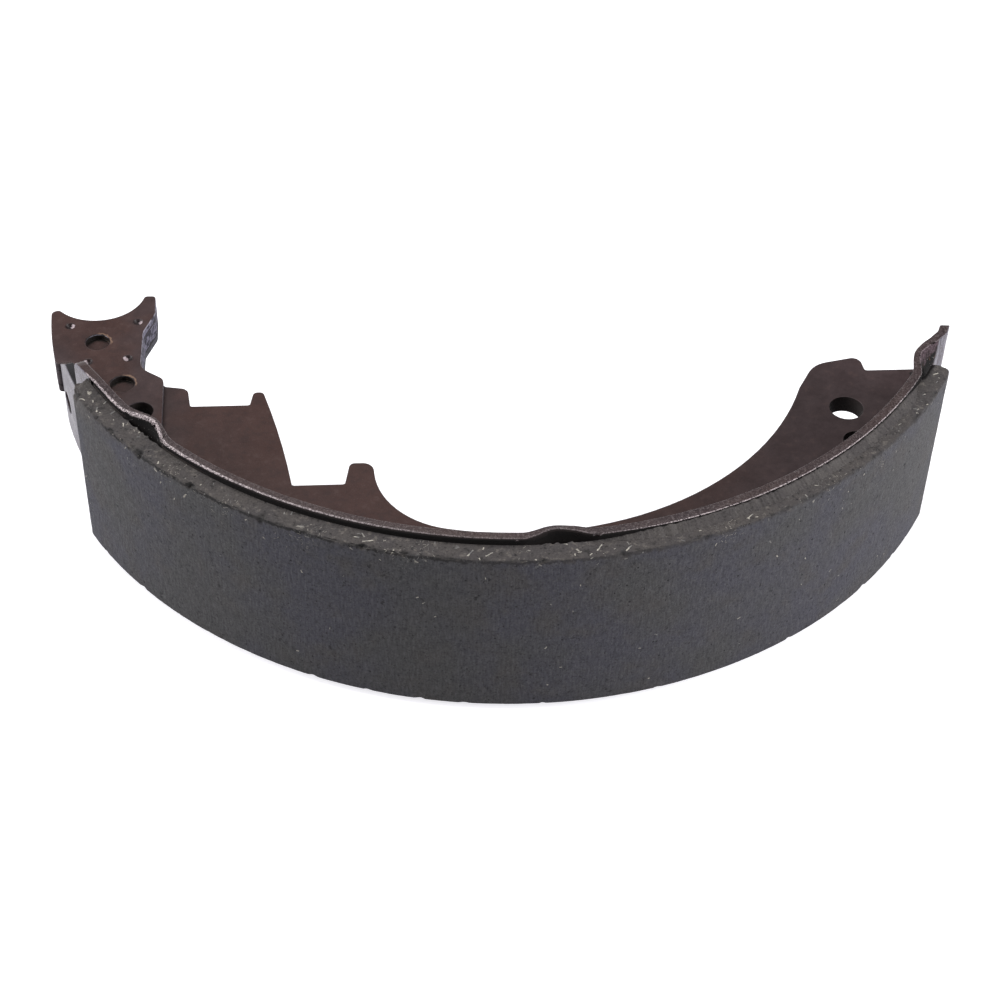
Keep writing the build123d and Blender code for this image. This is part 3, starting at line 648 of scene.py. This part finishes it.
SHARP_EDGE = 50  # degrees between two faces from which an edge is a real one


def dress(piece, material):
    piece.data.materials.clear()
    piece.data.materials.append(material)


def fractal(points, scale, octaves=3):
    total = np.zeros(len(points))
    for octave in range(octaves):
        step = scale * 2 ** octave
        values = [noise.noise((p[0] * step, p[1] * step, p[2] * step)) for p in points]
        total += np.array(values) / 2 ** octave
    return total


def along_arc(angle):
    """The points of an arc laid out straight, as places for noise."""
    return np.stack([angle * DRUM_R, np.zeros(len(angle)), np.zeros(len(angle))], axis=-1)


def ring_faces(count, ring):
    """The quads between sections that follow each other, each with a ring of points."""
    faces = []
    for i in range(count - 1):
        for k in range(ring):
            a, b = i * ring + k, i * ring + (k + 1) % ring
            faces.append((a, b, b + ring, a + ring))
    return faces


def closed_mesh(name, verts, faces):
    mesh = bpy.data.meshes.new(name)
    mesh.from_pydata(verts, [], faces)
    mesh.validate()
    shell = bmesh.new()
    shell.from_mesh(mesh)
    bmesh.ops.recalc_face_normals(shell, faces=shell.faces)
    shell.to_mesh(mesh)
    shell.free()
    mesh.polygons.foreach_set("use_smooth", [True] * len(mesh.polygons))
    return mesh


# ---------------------------------------------------------------- lining

LEFT_END, RIGHT_END = -62.0, 60.65
END_R, EDGE_R = 0.0046, 0.0003  # rounding of the two ends and of the long edges
LEAN, LEAN_RUN = 0.5, 0.015  # the right end's outward lean, and the length over which it sets in
SPANS, END_STEPS = 540, 12  # sections along its length, and in the rounding of each end
SIDE_RINGS, FACE_RINGS = 15, 34  # points across a side, and up the middle of the rubbing face
BOND_TUCK = 0.004  # how far the section's end stands behind its side, on the bond face
ROUND_STEPS = (30, 60)  # where the long edges' rounding has its points, in degrees

# How worn the upper corner is along the lining: turn, share
WEAR_TURNS, WEAR_SHARES = (-61.6, -50, 0, 20, 61), (1.2, 1.2, 0.6, 0.45, 0.7)
# The upper corner's loss: how far it reaches and how deep it is, least and more in a chip
CHIP_REACH, CHIP_DEPTH = (0.0006, 0.0028), (0.0003, 0.0013)
# The same at the left and the right end, and the length over which it fades
NOSE_REACH, NOSE_DEPTH, NOSE_RUN = (0.0034, 0.0028), (0.0010, 0.0008), (0.0100, 0.0045)
# The lower corner's smaller loss, and the fine and the coarse unevenness of the skin
LOW_REACH, LOW_DEPTH = (0.0004, 0.0015), 0.0009
SKIN_FINE, SKIN_COARSE = 0.00006, 0.00005
CHIP_FULL = 0.0007  # loss at which the material shows a full chip
# The ragged inner edge beside the left and middle nibs: turns, half width and depth, and the
# share of the side's depth from which it begins
NIB_GAPS, NIB_GAP_HALF, CRUMBLE, CRUMBLE_FROM = (-49.8, 2.8), 3.4, 0.0010, 0.7
# The broken inner edge beside the end nib: where it begins, its run in degrees, and the same
BREAK_TURN, BREAK_RUN, BREAK_DEPTH, BREAK_FROM = 57.0, 1.5, 0.0009, 0.8


def end_drop(from_end):
    """How far the rubbing face is rounded back at a distance from an end's plane."""
    short = np.clip(END_R - from_end, 0, END_R)
    return END_R - np.sqrt(END_R ** 2 - short ** 2)


def lining_section():
    """The section's points: kind, inward depth (metres on the face, else a share) and height."""
    fine = np.concatenate([np.linspace(EDGE_R, 0.004, 14), np.linspace(0.0052, 0.008, 3)])
    middle = np.linspace(LINING_LOW + 0.0092, LINING_HIGH - 0.0092, FACE_RINGS)
    heights = np.concatenate([LINING_LOW + fine, middle, (LINING_HIGH - fine)[::-1]])
    depths = np.linspace(0, 1, SIDE_RINGS) ** 1.15
    rounding = []
    for step in ROUND_STEPS:
        step = math.radians(step)
        rounding.append((EDGE_R * (1 - math.sin(step)), EDGE_R * (1 - math.cos(step))))
    rows = [("bond", 1.0, LINING_LOW + BOND_TUCK)]
    rows += [("side", share, LINING_LOW) for share in depths[::-1]]
    rows += [("face", drop, LINING_LOW + rise) for drop, rise in rounding]
    rows += [("face", 0.0, height) for height in heights]
    rows += [("face", drop, LINING_HIGH - rise) for drop, rise in rounding[::-1]]
    rows += [("side", share, LINING_HIGH) for share in depths]
    rows += [("bond", 1.0, LINING_HIGH - BOND_TUCK)]
    return rows


def on_upper_side(rows, beyond):
    """For each point of the section, how far it is past a share of the upper side's depth."""
    return np.array([max(0.0, share - beyond) / (1 - beyond)
                     if kind == "side" and height == LINING_HIGH else 0.0
                     for kind, share, height in rows])[None, :]


def end_caps(count, ring):
    """Both ends closed by strips between the section's two halves."""
    faces = []
    for base, flip in ((0, False), ((count - 1) * ring, True)):
        for k in range(ring // 2):
            face = (base + k, base + ring - 1 - k, base + ring - 2 - k, base + k + 1)
            if k + 1 == ring - 2 - k:
                face = (base + k, base + ring - 1 - k, base + k + 1)
            elif len(set(face)) < 4 or k + 1 > ring - 2 - k:
                continue
            faces.append(face[::-1] if flip else face)
    return faces


def make_lining():
    """The moulded segment: cross-sections around the drum's axis, with ragged upper corners."""
    left, right = math.radians(LEFT_END), math.radians(RIGHT_END)
    length = (right - left) * DRUM_R
    curve = 1 - np.cos(np.linspace(0, math.pi / 2, END_STEPS))
    middle = np.linspace(END_R, length - END_R, SPANS)[1:-1]
    along = np.concatenate([END_R * curve, middle, length - END_R * curve[::-1]])
    angle = left + along / DRUM_R
    outer = DRUM_R - end_drop(along) - end_drop(length - along)

    rows = lining_section()
    count, ring = len(angle), len(rows)
    radius = np.empty((count, ring))
    level = np.empty((count, ring))
    rim = outer - EDGE_R
    for k, (kind, amount, height) in enumerate(rows):
        radius[:, k] = outer - amount if kind == "face" else rim + (BOND_R - rim) * amount
        level[:, k] = height
    leaning = np.clip(1 - (right - angle) * DRUM_R / LEAN_RUN, 0, 1)[:, None] * LEAN
    turned = angle[:, None] + leaning * (radius - BOND_R) / DRUM_R
    from_top = LINING_HIGH - level
    from_rim = outer[:, None] - radius

    flat = np.stack([turned * DRUM_R, level, radius], axis=-1).reshape(-1, 3)
    ragged = fractal(flat, 260, 4).reshape(count, ring)
    coarse = fractal(flat, 45, 2).reshape(count, ring)
    run = along_arc(angle)
    degrees = np.degrees(angle)

    # Chips along the upper corner, deeper on the left, and a worn nose at each end
    bite = fractal(run, 230, 3) + 0.7 * fractal(run + (3, 7, 1), 55, 2)
    edge_share = np.interp(degrees, WEAR_TURNS, WEAR_SHARES)
    chips = (np.clip(bite - 0.02, 0, 1) * edge_share)[:, None]
    to_end = np.minimum((right - angle) * DRUM_R / NOSE_RUN[1],
                        (angle - left) * DRUM_R / NOSE_RUN[0])
    nose = np.clip(1 - to_end, 0, 1)[:, None]
    at_left = (angle < 0)[:, None]
    reach = CHIP_REACH[0] + CHIP_REACH[1] * chips + np.where(at_left, *NOSE_REACH) * nose
    depth = CHIP_DEPTH[0] + CHIP_DEPTH[1] * chips + np.where(at_left, *NOSE_DEPTH) * nose
    corner = np.hypot(np.maximum(from_top, 0), np.maximum(from_rim, 0))
    cut = np.clip(1 - corner / reach, 0, 1) * depth
    cut *= np.clip(0.80 + 1.3 * ragged, 0.2, 1.8)

    # Smaller chips along the lower corner
    low_bite = np.clip(fractal(run + (11, 2, 5), 170, 3) - 0.25, 0, 1)[:, None]
    low_corner = np.hypot(np.maximum(level - LINING_LOW, 0), np.maximum(from_rim, 0))
    low_reach = LOW_REACH[0] + LOW_REACH[1] * low_bite
    low_cut = np.clip(1 - low_corner / low_reach, 0, 1) * LOW_DEPTH * low_bite

    # A fine unevenness of the whole skin, but not of the bond face
    pull = (np.clip(0.35 + ragged, 0, 1) * SKIN_FINE
            + np.clip(0.5 + coarse, 0, 1) * SKIN_COARSE)
    is_face = np.array([kind == "face" for kind, _, _ in rows])[None, :]
    is_high = (np.arange(ring) > ring // 2)[None, :]
    bonded = np.array([kind != "face" and share == 1 for kind, share, _ in rows])[None, :]
    pull = np.where(bonded, 0, pull)

    # Crumbs over the bond beside two nibs, and the broken inner edge beside the end nib
    beside_nib = np.max([np.clip(1.35 - np.abs(degrees - gap) / NIB_GAP_HALF, 0, 1)
                         for gap in NIB_GAPS], axis=0)
    crumbling = np.clip(0.25 + 1.1 * fractal(run + (5, 5, 9), 420, 3), 0, 1) * beside_nib * CRUMBLE
    overhang = on_upper_side(rows, CRUMBLE_FROM) * crumbling[:, None]
    broken = np.clip((degrees - BREAK_TURN) / BREAK_RUN, 0, 1)[:, None]
    broken_inside = on_upper_side(rows, BREAK_FROM) * broken

    radius = radius - np.where(is_face, pull, 0) - 0.8 * cut - 0.8 * low_cut
    radius = np.maximum(radius, BOND_R) - overhang
    level = level - np.where(~is_face & is_high, pull * 1.6, 0) - 0.8 * cut
    level = level + np.where(~is_face & ~is_high, pull, 0) + 0.6 * low_cut
    level = level - BREAK_DEPTH * broken_inside
    x = AXIS_X + radius * np.sin(turned)
    y = AXIS_Y - radius * np.cos(turned)
    verts = np.stack([x, y, level], axis=-1).reshape(-1, 3).tolist()
    mesh = closed_mesh("lining_segment", verts, ring_faces(count, ring) + end_caps(count, ring))
    mesh.set_sharp_from_angle(angle=math.radians(SHARP_EDGE))

    # How broken each point is, for the material, which paints shade into the chips and the broken
    # inner edge
    chipped = np.clip(cut - 0.0012 * nose, 0, 1) + low_cut
    amount = np.clip(chipped / CHIP_FULL + 1.2 * broken_inside, 0, 1).reshape(-1)
    shade = mesh.attributes.new("chip", "FLOAT", "POINT")
    shade.data.foreach_set("value", amount.astype(np.float32))
    piece = bpy.data.objects.new("lining_segment", mesh)
    bpy.context.scene.collection.objects.link(piece)
    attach(piece, "root")
    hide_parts("friction_lining")
    return piece


# ---------------------------------------------------------------- table

# The rounding of the sheared edges, as shares of RIM_R: of the upper edge's outer and inner rim by
# turn, and of every other edge. All are equal at both ends, where rims meet other edges.
RIM_R, RIM_STEPS, PLAIN_SHARE = 0.0011, 4, 0.35
RIM_TURNS = (-62.5, -58, -20, -5, 8, 20, 57, 60.5)
RIM_SHARES = (0.35, 0.9, 0.9, 0.6, 0.6, 0.6, 0.6, 0.35)
INNER_TURNS, INNER_SHARES = (-62.5, -60, 58, 60.5), (0.35, 0.2, 0.2, 0.35)
# How far the ear's upper edge falls towards the left end: turn, millimetres, and from what height
EAR_TURNS = (-66.4, -64.5, -62.9, -61.5, -60.2, -59.2)
EAR_FALLS = (2.6, 2.35, 1.46, 0.62, 0.18, 0)
EAR_FOOT = 0.056
# How much further in than the node's own edge the nibs' crests stand: turn, millimetres
NIB_CREST = ((-62, 0), (-2, 0), (-1, -0.15), (0, -0.03), (1.2, 0.02), (1.7, -0.25), (2.7, -0.40),
             (3.1, -0.33), (3.6, -0.13), (4.1, 0.1), (4.5, 0.38), (5.1, 0.5), (5.7, 0.42),
             (6.4, 0.25), (7.3, 0.08), (8, 0), (57, 0.1), (59, 0.08), (60.2, 0.0), (61.2, 0.08),
             (62.0, 0.35), (62.9, 0.72), (63.4, 0.92), (63.9, 0.75), (64.5, 0.35), (65.1, 0))
# The metal lost at the crests on the outer side: middle and half width, millimetres
NIB_DRAW = ((-50.2, 5.2, 0.75), (3.0, 4.6, 0.75), (61.4, 4.2, 0.4))
# Where the edge is cut finer for them: turns, step and margin, and from what height
NIB_SPANS, NIB_STEP, NIB_MARGIN, NIB_FOOT = ((-56, -44), (-3, 9), (56, 66)), 0.5, 3, 0.0510
TABLE_NEAR = 0.14  # the least distance from the drum's axis at which a point is the strip's
# How much of a crest's move a point takes, by its height
NIB_HEIGHTS, NIB_RAISED = (0.0515, 0.058, TABLE_TOP), (0, 0.37, 1)


def turn_and_distance(point):
    across, ahead = point.x - AXIS_X, AXIS_Y - point.y
    return math.degrees(math.atan2(across, ahead)), math.hypot(across, ahead)


def outward_part(face):
    centre = face.calc_center_median()
    out = Vector((centre.x - AXIS_X, centre.y - AXIS_Y, 0)).normalized()
    return face.normal.dot(out)


def slice_nibs(body):
    """Cut the upper edge across, finely, wherever a nib is."""
    for first, last in NIB_SPANS:
        for step in range(int((last - first) / NIB_STEP) + 1):
            angle = math.radians(first + NIB_STEP * step)
            faces = []
            for face in body.faces:
                centre = face.calc_center_median()
                near = first - NIB_MARGIN < turn_and_distance(centre)[0] < last + NIB_MARGIN
                if centre.z > NIB_FOOT and (face.normal.z > 0.9 or near):
                    faces.append(face)
            edges = {e for f in faces for e in f.edges}
            verts = {v for f in faces for v in f.verts}
            bmesh.ops.bisect_plane(body, geom=[*faces, *edges, *verts], dist=2e-5,
                                   plane_co=(AXIS_X, AXIS_Y, 0.06),
                                   plane_no=(math.cos(angle), math.sin(angle), 0))


def reshape_nibs(body):
    """Move the pressed edges to the crests the real ones have, and let the ear's edge fall."""
    turns, extras = zip(*NIB_CREST)
    moved = []
    for vert in body.verts:
        raised = float(np.interp(vert.co.z, NIB_HEIGHTS, NIB_RAISED))
        turn, distance = turn_and_distance(vert.co)
        if raised == 0 or distance < TABLE_NEAR:
            continue
        if vert.co.z > EAR_FOOT:
            fall = float(np.interp(turn, EAR_TURNS, EAR_FALLS))
            vert.co.z -= fall * MM * (vert.co.z - EAR_FOOT) / (TABLE_TOP - EAR_FOOT)
        extra = float(np.interp(turn, turns, extras)) * raised
        if any(outward_part(face) > 0.3 for face in vert.link_faces):
            for middle, half, depth in NIB_DRAW:
                near = max(0.0, 1 - abs(turn - middle) / half)
                extra += depth * raised * near * near * (3 - 2 * near)
        moved.append((vert, (distance - extra * MM) / distance))
    for vert, scale in moved:
        vert.co.x = AXIS_X + (vert.co.x - AXIS_X) * scale
        vert.co.y = AXIS_Y + (vert.co.y - AXIS_Y) * scale


def rounding_share(edge):
    """How much of the full rounding an edge of the table gets."""
    tops = [f for f in edge.link_faces
            if f.normal.z > 0.95 and f.calc_center_median().z > 0.06]
    walls = [outward_part(f) for f in edge.link_faces if f not in tops]
    turn = turn_and_distance(edge.verts[0].co)[0]
    if tops and walls and walls[0] > 0.5:
        return float(np.interp(turn, RIM_TURNS, RIM_SHARES))
    if tops and walls and walls[0] < -0.5:
        return float(np.interp(turn, INNER_TURNS, INNER_SHARES))
    return PLAIN_SHARE


def make_table():
    """The rolled table: fuller nib crests, a rounded outer rim and its other edges broken."""
    body = bmesh.new()
    body.from_mesh(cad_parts["shoe_table"].data)
    bmesh.ops.remove_doubles(body, verts=body.verts, dist=2e-6)
    bmesh.ops.dissolve_degenerate(body, dist=1e-6, edges=body.edges)
    bmesh.ops.dissolve_limit(body, angle_limit=math.radians(0.4), use_dissolve_boundaries=False,
                             verts=body.verts, edges=body.edges)
    slice_nibs(body)
    body.normal_update()
    reshape_nibs(body)
    body.normal_update()
    easing = body.edges.layers.float.new("bevel_weight_edge")
    for edge in body.edges:
        if len(edge.link_faces) == 2 and edge.calc_face_angle(0) >= math.radians(SHARP_EDGE):
            edge[easing] = rounding_share(edge)
    mesh = bpy.data.meshes.new("table_strip")
    body.to_mesh(mesh)
    body.free()
    mesh.polygons.foreach_set("use_smooth", [True] * len(mesh.polygons))
    piece = bpy.data.objects.new("table_strip", mesh)
    bpy.context.scene.collection.objects.link(piece)
    rim = piece.modifiers.new("eased_edges", "BEVEL")
    rim.limit_method, rim.offset_type = "WEIGHT", "OFFSET"
    rim.width, rim.segments = RIM_R, RIM_STEPS
    rim.use_clamp_overlap = False
    mesh.set_sharp_from_angle(angle=math.radians(40))
    evaluated = piece.evaluated_get(bpy.context.evaluated_depsgraph_get())
    eased = bpy.data.meshes.new_from_object(evaluated)
    piece.modifiers.clear()
    piece.data = eased
    eased.name = "table_strip_eased"
    for vert in eased.vertices:
        vert.co.z = min(max(vert.co.z, 0.0), cad_high[2])
    eased.update()
    piece.modifiers.new("facets", "WEIGHTED_NORMAL").keep_sharp = True
    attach(piece, "root")
    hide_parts("shoe_table")
    return piece


# ---------------------------------------------------------------- bead of bonding resin

BEAD_ENDS, BEAD_SPANS = (6.4, 56), 640
BEAD_FADE = (7, 3)  # degrees over which it dies out at the left and the right
# Its section from the bond face and the lining's upper side: out, up
BEAD_SECTION = ((-0.00012, -0.0005), (0.0032, -0.0005), (0.0029, 0.00002), (0.0021, 0.00035),
                (0.0014, 0.0008), (0.0008, 0.0013), (0.0004, 0.0017), (-0.00012, 0.0018))
BEAD_WOBBLE = 0.00012


def make_bead():
    """Bonding resin squeezed up between the lining and the table, over the right-hand half."""
    left, right = (math.radians(end) for end in BEAD_ENDS)
    angle = np.linspace(left, right, BEAD_SPANS)
    run = along_arc(angle)
    lumps = 0.92 + 0.22 * fractal(run + (1, 1, 4), 500, 3) + 0.12 * fractal(run, 60, 2)
    fade = (np.clip((angle - left) / math.radians(BEAD_FADE[0]), 0, 1)
            * np.clip((right - angle) / math.radians(BEAD_FADE[1]), 0, 1))
    verts = []
    for turned, swell in zip(angle, np.clip(lumps, 0.6, 1.08) * fade):
        for out, up in BEAD_SECTION:
            distance = BOND_R + (out if out < 0 else out * swell)
            height = LINING_HIGH + (up if up < 0 else up * swell)
            if up > 0:
                distance += BEAD_WOBBLE * noise.noise((turned * 400, out * 3000, up * 3000))
            verts.append((AXIS_X + distance * math.sin(turned),
                          AXIS_Y - distance * math.cos(turned), height))
    ring = len(BEAD_SECTION)
    caps = [tuple(range(ring))[::-1], tuple(range((BEAD_SPANS - 1) * ring, BEAD_SPANS * ring))]
    mesh = closed_mesh("bond_bead", verts, ring_faces(BEAD_SPANS, ring) + caps)
    piece = bpy.data.objects.new("bond_bead", mesh)
    bpy.context.scene.collection.objects.link(piece)
    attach(piece, "root")
    return piece


dress(make_lining(), make_lining_material())
dress(make_table(), make_table_material())
dress(make_bead(), make_bead_material())
web_paint = make_web_material()
for name in ("web", "upper_doubler", "lower_doubler"):
    dress(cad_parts[name], web_paint)


# ---------------------------------------------------------------- stage and light

SOFT_WHITE = (0.98, 0.98, 1.0)
AIM = (0, 0, 0.03)
# Name, place, diameter, watts and tint
LAMPS = (("left_box", (-1.15, 0.05, 0.55), 0.8, 12.5, SOFT_WHITE),
         ("right_box", (1.2, -0.35, 0.55), 0.8, 19, SOFT_WHITE),
         ("top_box", (-0.25, 0.35, 1.4), 1.2, 13, (1, 1, 1)))


def make_stage():
    """White paper: it glows to the camera and in reflections, and takes the object's shadow."""
    bpy.ops.mesh.primitive_plane_add(size=4)
    floor = bpy.context.object
    floor.name = "floor"
    s = Shader("floor")
    path = s.add("LightPath")
    seen = s.most(path.outputs["Is Camera Ray"], path.outputs["Is Glossy Ray"])
    glow = s.add("Emission", {"Color": (0.97, 0.96, 1.0, 1), "Strength": s.times(seen, 0.75)})
    paper = s.add("BsdfDiffuse", {"Color": (0.55, 0.55, 0.55, 1)})
    both = s.add("AddShader", {0: glow.outputs[0], 1: paper.outputs[0]})
    s.add("OutputMaterial", {"Surface": both.outputs[0]})
    dress(floor, s.material)


def make_world():
    """White to the camera, a dim soft light to everything else."""
    world = bpy.data.worlds.new("studio")
    bpy.context.scene.world = world
    world.use_nodes = True
    tree = world.node_tree
    tree.nodes.clear()
    path = tree.nodes.new("ShaderNodeLightPath")
    dim = tree.nodes.new("ShaderNodeBackground")
    dim.inputs["Color"].default_value = (*SOFT_WHITE, 1)
    dim.inputs["Strength"].default_value = 0.28
    white = tree.nodes.new("ShaderNodeBackground")
    white.inputs["Strength"].default_value = 1.0
    mix = tree.nodes.new("ShaderNodeMixShader")
    out = tree.nodes.new("ShaderNodeOutputWorld")
    tree.links.new(path.outputs["Is Camera Ray"], mix.inputs[0])
    tree.links.new(dim.outputs[0], mix.inputs[1])
    tree.links.new(white.outputs[0], mix.inputs[2])
    tree.links.new(mix.outputs[0], out.inputs[0])


def add_lamp(name, place, size, energy, tint):
    lamp = bpy.data.lights.new(name, "AREA")
    lamp.shape = "DISK"
    lamp.size = size
    lamp.energy = energy
    lamp.color = tint
    holder = bpy.data.objects.new(name, lamp)
    bpy.context.scene.collection.objects.link(holder)
    holder.location = place
    holder.rotation_mode = "QUATERNION"
    holder.rotation_quaternion = (Vector(place) - Vector(AIM)).to_track_quat("Z", "Y")


make_stage()
make_world()
for lamp in LAMPS:
    add_lamp(*lamp)
bpy.context.scene.view_settings.view_transform = "Standard"
